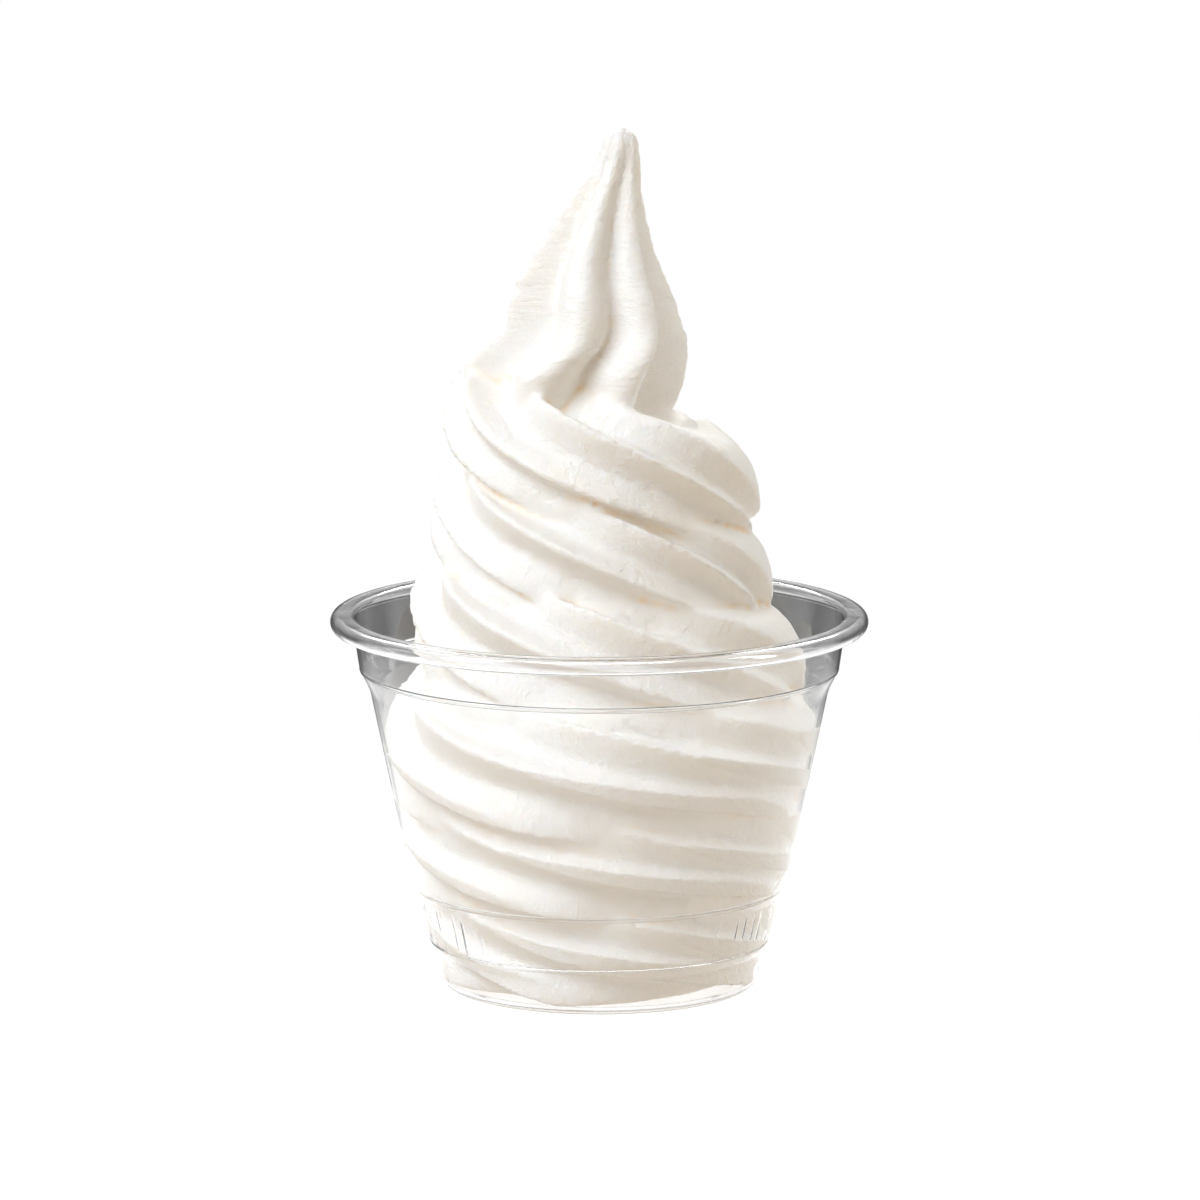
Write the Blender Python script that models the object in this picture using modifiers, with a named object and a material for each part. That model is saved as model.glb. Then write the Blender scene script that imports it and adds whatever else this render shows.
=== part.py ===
"""Frozen yogurt swirl in a clear stepped cup.

The cup is a turned thin sheet: rolled rim, collar, shoulder, tapered wall, ribbed band and foot.
The yogurt is one rope, squeezed through a six pointed star, coiled up in the cup and drawn into a peak.
The origin is the middle of the foot, and the cup's axis is +Z. All sizes are in metres.
"""
import math

import bmesh
import bpy
from mathutils import Vector
import numpy as np

# ---- cup: radii are those of the outside, heights are above the foot ---------------------------
SHEET = 0.0005              # thickness of the clear sheet
CUP_SIDES = 48              # facets around the cup
RIM_RADIUS = 0.0475
RIM_TOP_Z = 0.0668
RIM_ROLL = 0.0015           # radius of the roll that ends the sheet
BEAD_RADIUS = 0.0440        # middle of the small bead inside the rim
BEAD_ROLL = 0.0010
COLLAR_TOP_RADIUS = 0.0433
COLLAR_TOP_Z = 0.0632
COLLAR_FOOT_RADIUS = 0.0424
COLLAR_FOOT_Z = 0.0572
SHOULDER_RADIUS = 0.0405    # where the tapered wall begins, under the shoulder
SHOULDER_Z = 0.0532
WALL_FOOT_RADIUS = 0.0337
WALL_FOOT_Z = 0.0201
BAND_TOP_RADIUS = 0.0318
BAND_TOP_Z = 0.0158
BAND_FOOT_RADIUS = 0.0303
BAND_FOOT_Z = 0.0086
BASE_RADIUS = 0.0285
BASE_TOP_Z = 0.0058
FOOT_ROUND_Z = 0.0014       # where the base wall starts to round in to the foot
FOOT_RADIUS = 0.0271        # the ring that the cup stands on, outside and inside
FOOT_INNER_RADIUS = 0.0238
FLOOR_RADIUS = 0.0226       # raised middle of the floor
FLOOR_RISE = 0.0014
ROLL_ARC = (-80.0, 110.0)   # degrees of arc of the rim's roll, and corners along it
ROLL_CORNERS = 6
BEAD_ARC = (80.0, 180.0)
BEAD_CORNERS = 3
CLEARANCE = 0.0003          # left between the yogurt and the sheet

# ---- rope of yogurt ----------------------------------------------------------------------------
# Along the coil, places are counted in turns down from its top end, which is on the left side.
ROPE_OUTWARD = 0.0115       # half width of the rope where it lies in the coil
ROPE_UPWARD = 0.0108        # half height there
ROPE_SQUARENESS = 2.5       # 2 is an ellipse
RISE_ROUNDING = 3.0         # how fast a risen top turns back into an ellipse
ROPE_STEP = 0.0010          # spacing of the sections along the rope
RIDGE_SIDES = 12            # corners of each section from one ridge to the next
COIL_STATIONS = 700
COIL_HEIGHT = (             # turns, and height of the rope's middle
    (0.00, 0.1016),
    (0.25, 0.0960),
    (0.50, 0.0873),
    (0.75, 0.0874),
    (1.00, 0.0842),
    (1.25, 0.0795),
    (1.50, 0.0728),
    (1.75, 0.0700),
    (2.00, 0.0662),
    (2.25, 0.0622),
    (2.50, 0.0566),
    (2.75, 0.0520),
    (3.00, 0.0430),
    (3.25, 0.0430),
    (3.50, 0.0425),
    (3.75, 0.0340),
    (4.00, 0.0270),
    (4.25, 0.0270),
    (4.50, 0.0270),
    (5.00, 0.0120),
    (5.50, 0.0110),
)
COIL_TALLNESS = (           # turns, and how tall the rope is there, 1 as above
    (0.00, 1.00),
    (1.50, 1.00),
    (2.00, 1.10),
    (3.00, 1.15),
    (4.00, 1.00),
    (5.50, 1.00),
)
COIL_OUTSIDE = (            # height, and outer radius of the coil
    (0.0000, 0.0300),
    (0.0200, 0.0345),
    (0.0460, 0.0390),
    (0.0572, 0.0362),
    (0.0660, 0.0334),
    (0.0746, 0.0310),
    (0.0833, 0.0296),
    (0.0920, 0.0286),
    (0.1040, 0.0272),
)
COIL_AXIS = (               # height, and sideways place of the coil's middle
    (0.0000, 0.0000),
    (0.0550, 0.0004),
    (0.0660, -0.0003),
    (0.1040, -0.0004),
)
RISE = 0.31                 # how much higher the top turn bulges on its right side
RISE_TURN = 0.57
RISE_WIDTH = 0.13
RIDGES = (                  # turns, and bearings of the six ridges in degrees; the last turn repeats
    (0.00, 358, 302, 242, 182, 130, 60),
    (0.15, 353, 300, 236, 190, 130, 62),
    (0.25, 357, 303, 247, 202, 134, 66),
    (0.35, 356, 313, 266, 214, 142, 80),
    (0.50, 350, 323, 285, 225, 160, 100),
    (0.75, 362, 318, 262, 200, 140, 70),
    (1.00, 370, 318, 258, 212, 165, 75),
    (1.15, 372, 322, 267, 208, 150, 78),
    (1.32, 364, 325, 275, 214, 150, 80),
    (1.42, 352, 319, 282, 225, 158, 90),
    (1.50, 338, 310, 285, 230, 165, 92),
    (1.75, 362, 318, 270, 205, 145, 75),
    (2.00, 368, 312, 252, 196, 150, 75),
    (2.20, 368, 315, 262, 202, 145, 75),
    (2.50, 352, 321, 290, 232, 162, 95),
)
VALLEY_DEPTHS = (0.48, 0.39, 0.41, 0.41, 0.19, 0.08)    # share of the radius, after each ridge
CREST_ROUNDING = 0.06       # 0 is a sharp crest
FULL_GAP = 60.0             # ridges closer than this many degrees have shallower valleys

# ---- peak --------------------------------------------------------------------------------------
PEAK_STATIONS = 160
PEAK_TIP_ROUND = 0.0030     # height over which the tip rounds in
PEAK_TIP_LEAST = 0.004      # share of that height at the last section, which is never a point
PEAK = (                    # height, sideways place of the middle, radius of the ridges
    (0.0985, -0.0062, 0.0165),
    (0.1040, -0.0048, 0.0184),
    (0.1080, -0.0044, 0.0194),
    (0.1125, -0.0038, 0.0197),
    (0.1150, -0.0022, 0.0183),
    (0.1175, -0.0013, 0.0166),
    (0.1235, -0.0014, 0.0148),
    (0.1290, -0.0012, 0.0121),
    (0.1350, -0.0002, 0.0093),
    (0.1410, 0.0014, 0.0066),
    (0.1465, 0.0031, 0.0044),
    (0.1527, 0.0042, 0.0030),
)
PEAK_RIDGES = (             # height, and bearings of the six ridges
    (0.1000, 299, 242, 184, 118, 60, 0),
    (0.1090, 303, 247, 190, 123, 66, 5),
    (0.1150, 309, 256, 193, 132, 72, 12),
    (0.1210, 314, 264, 196, 135, 76, 16),
    (0.1275, 316, 263, 196, 136, 76, 16),
    (0.1520, 320, 262, 196, 140, 80, 20),
)
PEAK_DEPTHS = (0.50, 0.52, 0.36, 0.36, 0.36, 0.41)     # as VALLEY_DEPTHS, in the peak
PEAK_LEANS = (1.0, 1.7, 1.0, 1.0, 1.0, 1.0)     # above 1, a valley is deepest near the ridge after it
TIP_RADIUS = 0.0048         # where the peak is narrower than this, its valleys are shallower
CREASES = (1.0, 0.0, 0.0, 0.0, 0.0, 0.4)    # 1 is a valley folded to a crease, in the peak only

# ---- where the rope leaves the coil and ends inside the peak -----------------------------------
TURN_UP_STATIONS = 60
TURN_IN_REACH = 0.007       # how softly the rope leaves the coil
TURN_UP_REACH = 0.007       # and turns up
TURN_UP_END = (-0.0030, 0.0, 0.1120)
TURN_UP_RADIUS = 0.0100
TURN_UP_RIDGES = (304.0, 254.0, 193.0, 132.0, 72.0, 12.0)

# ---- filling and mesh --------------------------------------------------------------------------
CORE_SIDES = 24
CORE_RINGS = 40
CORE = (                    # height, and radius of the filling inside the turns
    (0.0020, 0.0240),
    (0.0200, 0.0300),
    (0.0460, 0.0340),
    (0.0570, 0.0305),
    (0.0660, 0.0275),
    (0.0750, 0.0255),
    (0.0850, 0.0238),
    (0.0900, 0.0225),
    (0.0950, 0.0200),
    (0.0980, 0.0180),
    (0.1005, 0.0172),
    (0.1020, 0.0152),
    (0.1028, 0.0120),
)
SEAM_DEPTH = 0.0080         # yogurt pressed out between one turn and the next, below the surface
SEAM_RADIUS = 0.0030
SEAM_SIDES = 12
SEAM_STATIONS = 400
VOXEL = 0.0012              # grid on which the turns are merged into one body
SWIRL_FACES_KEPT = 0.068    # share of the merged faces that is kept
TRIM_SIDES = 48             # facets of the space inside the cup
TRIM_TOP_Z = 0.1700


def smooth_table(rows, at):
    """Read a short table of (place, value) rows along a smooth curve."""
    places = np.array([row[0] for row in rows])
    values = np.array([row[1] for row in rows])
    slopes = np.gradient(values, places)
    at = np.clip(at, places[0], places[-1])
    row = np.clip(np.searchsorted(places, at) - 1, 0, len(rows) - 2)
    span = places[row + 1] - places[row]
    t = (at - places[row]) / span
    start = (1 + 2 * t) * (1 - t) ** 2 * values[row] + t * (1 - t) ** 2 * span * slopes[row]
    end = t * t * (3 - 2 * t) * values[row + 1] - t * t * (1 - t) * span * slopes[row + 1]
    return start + end


def bearings_at(table, places):
    """Bearings of the six ridges, a column each, read from a table at each of the places."""
    table = np.array(table, float)
    columns = [smooth_table(table[:, (0, column)], places) for column in range(1, table.shape[1])]
    return np.stack(columns, 1)


def coil_path():
    """Stations of the coiled rope, upwards.

    Each has x, y, z, radius, tallness, creasing, rise of its top, and the bearings of its ridges.
    """
    turn = np.linspace(COIL_HEIGHT[-1][0], 0.0, COIL_STATIONS)
    angle = math.pi + 2 * math.pi * turn
    z = smooth_table(COIL_HEIGHT, turn)
    reach = smooth_table(COIL_OUTSIDE, z) - ROPE_OUTWARD
    x = smooth_table(COIL_AXIS, z) + reach * np.cos(angle)
    y = reach * np.sin(angle)
    radius = np.full_like(x, ROPE_OUTWARD)
    rise = RISE * np.exp(-((turn - RISE_TURN) / RISE_WIDTH) ** 2)
    last_turn = RIDGES[-1][0]
    again = np.where(turn > last_turn, last_turn - 1 + (turn - last_turn) % 1, turn)
    form = np.stack([x, y, z, radius, smooth_table(COIL_TALLNESS, turn), 0 * x, rise], 1)
    return np.hstack([form, bearings_at(RIDGES, again)])


def peak_path():
    """Stations of the upright rope, from its foot in the coil to its rounded tip."""
    z = np.linspace(PEAK[0][0], PEAK[-1][0], PEAK_STATIONS)
    x = smooth_table([(row[0], row[1]) for row in PEAK], z)
    radius = smooth_table([(row[0], row[2]) for row in PEAK], z)
    below_tip = np.clip((PEAK[-1][0] - z) / PEAK_TIP_ROUND, PEAK_TIP_LEAST, 1.0)
    radius = radius * np.sqrt(1 - (1 - below_tip) ** 2)
    level = np.ones_like(z)
    form = np.stack([x, 0 * z, z, radius, level, level, 0 * z], 1)
    return np.hstack([form, bearings_at(PEAK_RIDGES, z)])


def turn_up_path(coil):
    """Stations where the rope leaves the coil and turns up, to end inside the peak."""
    start = coil[-1]
    end = np.array([*TURN_UP_END, TURN_UP_RADIUS, 1.0, 0.0, 0.0, *TURN_UP_RIDGES])
    heading = coil[-1, :3] - coil[-2, :3]
    leave = start[:3] + TURN_IN_REACH * heading / np.linalg.norm(heading)
    arrive = end[:3] - np.array([0.0, 0.0, TURN_UP_REACH])
    t = np.linspace(0.0, 1.0, TURN_UP_STATIONS)[1:, None]
    place = (1 - t) ** 3 * start[:3] + 3 * t * (1 - t) ** 2 * leave
    place = place + 3 * t * t * (1 - t) * arrive + t ** 3 * end[:3]
    blend = 3 * t * t - 2 * t ** 3
    return np.hstack([place, start[3:] + (end[3:] - start[3:]) * blend])


def even_steps(path, step):
    """Read a path again at even steps along its length."""
    length = np.r_[0, np.cumsum(np.linalg.norm(np.diff(path[:, :3], axis=0), axis=1))]
    at = np.linspace(0, length[-1], int(length[-1] / step))
    return np.stack([np.interp(at, length, column) for column in path.T], 1)


def star(bearings, creasing, strength):
    """Bearings and radii of one section: narrow crests of radius 1, scooped or creased valleys between."""
    even = np.arange(RIDGE_SIDES) / RIDGE_SIDES
    gaps = bearings - np.r_[bearings[1:], bearings[0] - 360]
    depths = np.array(VALLEY_DEPTHS) * (1 - creasing) + np.array(PEAK_DEPTHS) * creasing
    leans = 1 + (np.array(PEAK_LEANS) - 1) * creasing
    outward = []
    reach = []
    for bearing, gap, depth, crease, lean in zip(bearings, gaps, depths, CREASES, leans):
        share = crease * creasing
        across = even ** lean
        scoop = np.sqrt(np.sin(across * math.pi) ** 2 + CREST_ROUNDING ** 2) - CREST_ROUNDING
        scoop /= math.sqrt(1 + CREST_ROUNDING ** 2) - CREST_ROUNDING
        fold = 1 - np.abs(np.cos(across * math.pi))
        depth = depth * strength * min(1.0, gap / FULL_GAP)
        outward.append(bearing - gap * even)
        reach.append(1 - depth * (scoop * (1 - share) + fold * share))
    return np.radians(np.concatenate(outward)[::-1]), np.concatenate(reach)[::-1]


def flatten(ring, lying, height, rise):
    """Square a lying section off a little and set its height; an upright one stays as it is."""
    out = np.hypot(ring[:, 0], ring[:, 1])
    up = np.abs(ring[:, 2])
    size = np.hypot(out, up)
    upper = ring[:, 2] > 0
    power = 2 + (ROPE_SQUARENESS - 2) * lying * np.where(upper, max(0.0, 1 - RISE_ROUNDING * rise), 1.0)
    ring = ring * (((out / size) ** power + (up / size) ** power) ** (-1 / power))[:, None]
    ring[:, 2] *= 1 + (height - 1) * lying
    ring[:, 2] *= np.where(upper, 1 + rise, 1.0)
    return ring


def sweep(path):
    """Rings of the star along a path. The star isn't turned with the path, as in a nozzle."""
    heading = np.gradient(path[:, :3], axis=0)
    heading /= np.linalg.norm(heading, axis=1)[:, None]
    height = ROPE_UPWARD / ROPE_OUTWARD
    rings = []
    for station, ahead in zip(path, heading):
        radius, tallness, creasing, rise = station[3:7]
        outward, reach = star(station[7:], creasing, min(1.0, radius / TIP_RADIUS))
        ring = np.stack([reach * np.cos(outward), reach * np.sin(outward), np.zeros_like(reach)], 1)
        if creasing < 1.0:
            tilt = np.array(Vector((0, 0, 1)).rotation_difference(Vector(ahead)).to_matrix())
            lying = math.sqrt(max(0.0, 1 - ahead[2] ** 2))
            ring = flatten(ring @ tilt.T, lying, height * tallness, rise)
        rings.append(station[:3] + radius * ring)
    return rings


def core_rings():
    """Rings of the filling inside the turns, which reaches the middle of the rope."""
    angle = np.linspace(0, 2 * math.pi, CORE_SIDES, endpoint=False)
    rings = []
    for z in np.linspace(CORE[0][0], CORE[-1][0], CORE_RINGS):
        radius = smooth_table(CORE, z)
        x = smooth_table(COIL_AXIS, z) + radius * np.cos(angle)
        rings.append(np.stack([x, radius * np.sin(angle), np.full_like(angle, z)], 1))
    return rings


def seam_rings():
    """Rings of the yogurt pressed out between each turn and the next."""
    turn = np.linspace(0.0, COIL_HEIGHT[-1][0] - 1, SEAM_STATIONS)
    z = (smooth_table(COIL_HEIGHT, turn) + smooth_table(COIL_HEIGHT, turn + 1)) / 2
    bearing = math.pi + 2 * math.pi * turn
    reach = smooth_table(COIL_OUTSIDE, z) - SEAM_DEPTH
    angle = np.linspace(0, 2 * math.pi, SEAM_SIDES, endpoint=False)
    rings = []
    for a, r, middle, up in zip(bearing, reach, smooth_table(COIL_AXIS, z), z):
        out = r + SEAM_RADIUS * np.cos(angle)
        level = up + SEAM_RADIUS * np.sin(angle)
        rings.append(np.stack([middle + out * math.cos(a), out * math.sin(a), level], 1))
    return rings


def add_tube(mesh, rings):
    """Add a closed tube through the rings to a bmesh."""
    loops = [[mesh.verts.new(point) for point in ring] for ring in rings]
    for low, high in zip(loops, loops[1:]):
        for i in range(len(low)):
            j = (i + 1) % len(low)
            mesh.faces.new((low[i], low[j], high[j], high[i]))
    mesh.faces.new(loops[0][::-1])
    mesh.faces.new(loops[-1])


def new_material(name, color, roughness, alpha=1.0, transmission=0.0):
    """A Principled material of one colour."""
    material = bpy.data.materials.new(name)
    material.use_nodes = True
    shader = material.node_tree.nodes["Principled BSDF"]
    shader.inputs["Base Color"].default_value = (*color, 1.0)
    shader.inputs["Roughness"].default_value = roughness
    shader.inputs["Metallic"].default_value = 0.0
    shader.inputs["Alpha"].default_value = alpha
    shader.inputs["Transmission Weight"].default_value = transmission
    return material


def new_collection(name):
    collection = bpy.data.collections.new(name)
    bpy.context.scene.collection.children.link(collection)
    return collection


def turned(name, profile, sides, collection):
    """Turn a profile of (radius, height) points about the Z axis."""
    mesh = bpy.data.meshes.new(name)
    edges = [(i, i + 1) for i in range(len(profile) - 1)]
    mesh.from_pydata([(radius, 0.0, z) for radius, z in profile], edges, [])
    piece = bpy.data.objects.new(name, mesh)
    collection.objects.link(piece)
    screw = piece.modifiers.new("turn", "SCREW")
    screw.steps = sides
    screw.render_steps = sides
    screw.use_merge_vertices = True
    screw.merge_threshold = 0.00001
    screw.use_smooth_shade = True
    return piece


def arc(center_radius, center_z, size, degrees, corners):
    """Points of a profile along an arc, from the first to the last of two angles."""
    angles = np.radians(np.linspace(*degrees, corners))
    return [(center_radius + size * math.cos(a), center_z + size * math.sin(a)) for a in angles]


def wall_profile():
    """Outside of the cup from under its rim to the floor, top to bottom."""
    return [
        (COLLAR_TOP_RADIUS, COLLAR_TOP_Z),
        (COLLAR_FOOT_RADIUS, COLLAR_FOOT_Z),
        ((COLLAR_FOOT_RADIUS + SHOULDER_RADIUS) / 2, (COLLAR_FOOT_Z + SHOULDER_Z) / 2 + SHEET),
        (SHOULDER_RADIUS, SHOULDER_Z),
        (WALL_FOOT_RADIUS, WALL_FOOT_Z),
        (BAND_TOP_RADIUS, BAND_TOP_Z),
        (BAND_FOOT_RADIUS, BAND_FOOT_Z),
        (BASE_RADIUS, BASE_TOP_Z),
        (BASE_RADIUS, FOOT_ROUND_Z),
        (FOOT_RADIUS, 0.0),
        (FOOT_INNER_RADIUS, 0.0),
        (FLOOR_RADIUS, FLOOR_RISE),
        (0.0, FLOOR_RISE),
    ]


def rim_profile():
    """Sheet of the rim, from the end of its outer roll over the bead to the collar."""
    roll = arc(RIM_RADIUS - RIM_ROLL, RIM_TOP_Z - RIM_ROLL, RIM_ROLL - SHEET, ROLL_ARC, ROLL_CORNERS)
    bead = arc(BEAD_RADIUS, RIM_TOP_Z - BEAD_ROLL, BEAD_ROLL - SHEET, BEAD_ARC, BEAD_CORNERS)
    return roll + bead


def build_cup(collection):
    """Thin shell of the cup: the sheet lies inside the profile."""
    cup = turned("cup", rim_profile() + wall_profile(), CUP_SIDES, collection)
    sheet = cup.modifiers.new("sheet", "SOLIDIFY")
    sheet.thickness = SHEET
    sheet.offset = -1.0
    cup.data.materials.append(new_material("clear_plastic", (0.95, 0.97, 0.98), 0.06, 0.3, 1.0))
    return cup


def build_cup_room(collection):
    """Cutter: the space that the yogurt can fill, clear of the sheet and open upwards."""
    inset = SHEET + CLEARANCE
    floor = [(radius - inset, z + inset) for radius, z in wall_profile()[:-1] if z > 0]
    profile = [(0.0, TRIM_TOP_Z), (COLLAR_TOP_RADIUS - inset, TRIM_TOP_Z)]
    room = turned("cup_room", profile + floor + [(0.0, FLOOR_RISE + inset)], TRIM_SIDES, collection)
    room.display_type = "WIRE"
    room.hide_render = True
    return room


def build_swirl(collection, room):
    """The turns, the peak and the filling as one body, pressed into the cup."""
    coil = coil_path()
    rope = np.vstack([coil, turn_up_path(coil)])
    shape = bmesh.new()
    add_tube(shape, sweep(even_steps(rope, ROPE_STEP)))
    add_tube(shape, sweep(even_steps(peak_path(), ROPE_STEP)))
    add_tube(shape, core_rings())
    add_tube(shape, seam_rings())
    mesh = bpy.data.meshes.new("yogurt_swirl")
    shape.to_mesh(mesh)
    shape.free()
    swirl = bpy.data.objects.new("yogurt_swirl", mesh)
    collection.objects.link(swirl)
    merge = swirl.modifiers.new("merge the turns", "REMESH")
    merge.mode = "VOXEL"
    merge.voxel_size = VOXEL
    merge.use_smooth_shade = True
    thin = swirl.modifiers.new("fewer faces", "DECIMATE")
    thin.ratio = SWIRL_FACES_KEPT
    press = swirl.modifiers.new("press into the cup", "BOOLEAN")
    press.operation = "INTERSECT"
    press.solver = "EXACT"
    press.object = room
    mesh.materials.append(new_material("frozen_yogurt", (0.93, 0.90, 0.85), 0.55))
    return swirl


def main():
    for thing in list(bpy.data.objects):
        bpy.data.objects.remove(thing)
    parts = new_collection("frozen_yogurt_cup")
    cutters = new_collection("cutters")
    build_cup(parts)
    room = build_cup_room(cutters)
    build_swirl(parts, room)


main()
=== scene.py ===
"""Frozen yogurt swirl in a clear stepped cup, dressed for a picture.

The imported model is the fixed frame. Two pieces replace its solids: the thin clear cup with its ribbed band,
and the yogurt, one rope from a star nozzle that is coiled in the cup and drawn up into a peak.
All sizes are in metres. Z is up, and the cup's axis is the Z axis.
"""
import math

import bmesh
import bpy
import numpy as np
from bpy.props import FloatProperty, FloatVectorProperty, IntProperty, PointerProperty
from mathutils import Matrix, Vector, noise
from mathutils.kdtree import KDTree


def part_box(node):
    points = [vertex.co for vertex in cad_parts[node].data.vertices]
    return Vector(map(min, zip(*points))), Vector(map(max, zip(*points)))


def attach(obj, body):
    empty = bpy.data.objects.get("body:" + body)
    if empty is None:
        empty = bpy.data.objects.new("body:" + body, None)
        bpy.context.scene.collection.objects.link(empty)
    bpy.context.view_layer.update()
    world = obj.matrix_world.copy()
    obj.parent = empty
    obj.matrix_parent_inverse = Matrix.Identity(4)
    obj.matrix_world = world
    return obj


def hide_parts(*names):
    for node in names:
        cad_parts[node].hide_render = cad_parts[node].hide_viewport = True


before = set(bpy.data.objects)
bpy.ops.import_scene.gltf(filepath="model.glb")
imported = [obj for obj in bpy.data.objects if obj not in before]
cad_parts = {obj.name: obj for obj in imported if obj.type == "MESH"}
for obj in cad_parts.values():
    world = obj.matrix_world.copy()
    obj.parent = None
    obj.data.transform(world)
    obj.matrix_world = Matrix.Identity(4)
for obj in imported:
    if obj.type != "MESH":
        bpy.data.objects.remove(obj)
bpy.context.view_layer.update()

bl_info = {
    "name": "Frozen Yogurt Cup",
    "version": (1, 0, 0),
    "blender": (4, 5, 0),
    "location": "View3D > Sidebar > Frozen Yogurt",
    "description": "Builds a frozen yogurt swirl in its clear cup, and a plain stage",
    "category": "Add Mesh",
}

CUP_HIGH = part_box("cup")[1]
SWIRL_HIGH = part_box("yogurt_swirl")[1]

# ---- cup ----------------------------------------------------------------------------------------
RIM_RADIUS = CUP_HIGH.x
RIM_TOP_Z = CUP_HIGH.z
RIM_ROLL = 0.0015           # radius of the roll that ends the sheet
RIM_ARC = (-80.0, 112.0)    # degrees of arc of the rim's roll, and points along it
RIM_POINTS = 16
BEAD_RADIUS = 0.0440        # middle of the small bead inside the rim
BEAD_ROLL = 0.0010
BEAD_ARC = (78.0, 180.0)
BEAD_POINTS = 10
WALL = (                    # radius of the outside, height, and how far the corner's rounding reaches
    (0.0433, 0.0632, 0.0008),
    (0.0424, 0.0572, 0.0008),
    (0.0417, 0.0557, 0.0006),
    (0.0411, 0.0546, 0.0006),
    (0.0405, 0.0532, 0.0010),
    (0.0337, 0.0201, 0.0010),
    (0.0318, 0.0158, 0.0008),
    (0.0303, 0.0086, 0.0008),
    (0.0285, 0.0058, 0.0007),
    (0.0285, 0.0014, 0.0012),
    (0.0271, 0.0000, 0.0006),
    (0.0238, 0.0000, 0.0004),
    (0.0226, 0.0014, 0.0006),
)
BAND_TOP_Z = 0.0162         # the ribbed band
BAND_FOOT_Z = 0.0080
BAND_RINGS = 8
BAND_FADE = 0.0008          # height in which the ribs fade out at the band's ends
RIB_SEED = 7
RIB_UNEVENNESS = 0.36       # share of the spacing by which a rib is out of place
RIB_HEIGHTS = (0.35, 1.0)   # least and greatest share of the full height
RIB_WIDTHS = (0.006, 0.011)  # radians around the cup
STEP_LINES = (              # radius, height and roundness of the bead at each step of the wall
    (0.0424, 0.0570, 0.00050),
    (0.0325, 0.0180, 0.00045),
    (0.0302, 0.0082, 0.00045),
    (0.0276, 0.0008, 0.00060),
)
STEP_LINE_SIDES = 10

# ---- rope of yogurt -----------------------------------------------------------------------------
# Along the coil, places are counted in turns down from its top end, which is on the left side.
REACH_INTO_SHEET = 0.0002   # how far the yogurt reaches into the sheet, so that no gap shows
COIL_STATIONS = 1400
ROPE_STEP = 0.0006          # spacing of the sections along the rope
RIDGE_SIDES = 30            # corners of each section from one ridge to the next
COIL_HEIGHT = (             # turns, and height of the rope's middle
    (0.00, 0.1016),
    (0.25, 0.0960),
    (0.50, 0.0873),
    (0.75, 0.0874),
    (1.00, 0.0842),
    (1.25, 0.0795),
    (1.50, 0.0728),
    (1.75, 0.0700),
    (2.00, 0.0662),
    (2.25, 0.0622),
    (2.50, 0.0566),
    (2.75, 0.0520),
    (3.00, 0.0430),
    (3.25, 0.0430),
    (3.50, 0.0425),
    (3.75, 0.0340),
    (4.00, 0.0270),
    (4.25, 0.0270),
    (4.50, 0.0270),
    (5.00, 0.0120),
    (5.50, 0.0110),
)
COIL_TALLNESS = (           # turns, and how much taller than its usual height the rope is
    (0.00, 1.00),
    (1.50, 1.00),
    (2.00, 1.10),
    (3.00, 1.15),
    (4.00, 1.00),
    (5.50, 1.00),
)
RISE_TURN = 0.57            # where the top turn bulges up beside the peak
RISE_WIDTH = 0.13
RISE_ROUNDING = 3.0         # how fast a risen top turns back into an ellipse
COIL_OUTSIDE = (            # height, and how far out the coil reaches
    (0.0000, 0.0300),
    (0.0200, 0.0345),
    (0.0460, 0.0390),
    (0.0572, 0.0362),
    (0.0660, 0.0334),
    (0.0746, 0.0310),
    (0.0833, 0.0296),
    (0.0920, 0.0286),
    (0.1040, 0.0272),
)
COIL_AXIS = (               # height, and how far right the middle of the coil lies
    (0.0000, 0.0000),
    (0.0550, 0.0004),
    (0.0660, -0.0003),
    (0.1040, -0.0004),
)
RIDGES = (                  # turns, and the bearings of the six ridges around the rope, in degrees
    (0.00, 358, 302, 242, 182, 130, 60),
    (0.15, 353, 300, 236, 190, 130, 62),
    (0.25, 357, 303, 247, 202, 134, 66),
    (0.35, 356, 313, 266, 214, 142, 80),
    (0.50, 350, 323, 285, 225, 160, 100),
    (0.75, 362, 318, 262, 200, 140, 70),
    (1.00, 370, 318, 258, 212, 165, 75),
    (1.15, 372, 322, 267, 208, 150, 78),
    (1.32, 364, 325, 275, 214, 150, 80),
    (1.42, 352, 319, 282, 225, 158, 90),
    (1.50, 338, 310, 285, 230, 165, 92),
    (1.75, 362, 318, 270, 205, 145, 75),
    (2.00, 368, 312, 252, 196, 150, 75),
    (2.20, 368, 315, 262, 202, 145, 75),
    (2.50, 352, 321, 290, 232, 162, 95),
)
PEAK_RIDGES = (             # height, and the bearings of the peak's six ridges
    (0.1000, 299, 242, 184, 118, 60, 0),
    (0.1090, 303, 247, 190, 123, 66, 5),
    (0.1150, 309, 256, 193, 132, 72, 12),
    (0.1210, 314, 264, 196, 135, 76, 16),
    (0.1275, 316, 263, 196, 136, 76, 16),
    (0.1520, 320, 262, 196, 140, 80, 20),
)
VALLEY_DEPTHS = (0.48, 0.39, 0.41, 0.41, 0.19, 0.08)    # share of the radius, after each ridge
PEAK_DEPTHS = (0.50, 0.52, 0.36, 0.36, 0.36, 0.41)
PEAK_LEANS = (1.0, 1.7, 1.0, 1.0, 1.0, 1.0)     # above 1, the valley lies nearer to the next ridge
CREASES = (1.0, 0.0, 0.0, 0.0, 0.0, 0.4)        # 1 is a sharp fold in the peak, 0 a round scoop
CREST_ROUNDING = 0.06
FULL_GAP = 60.0             # ridges nearer together than this have shallower valleys
TIP_RADIUS = 0.0048         # a rope thinner than this has shallower valleys

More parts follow.
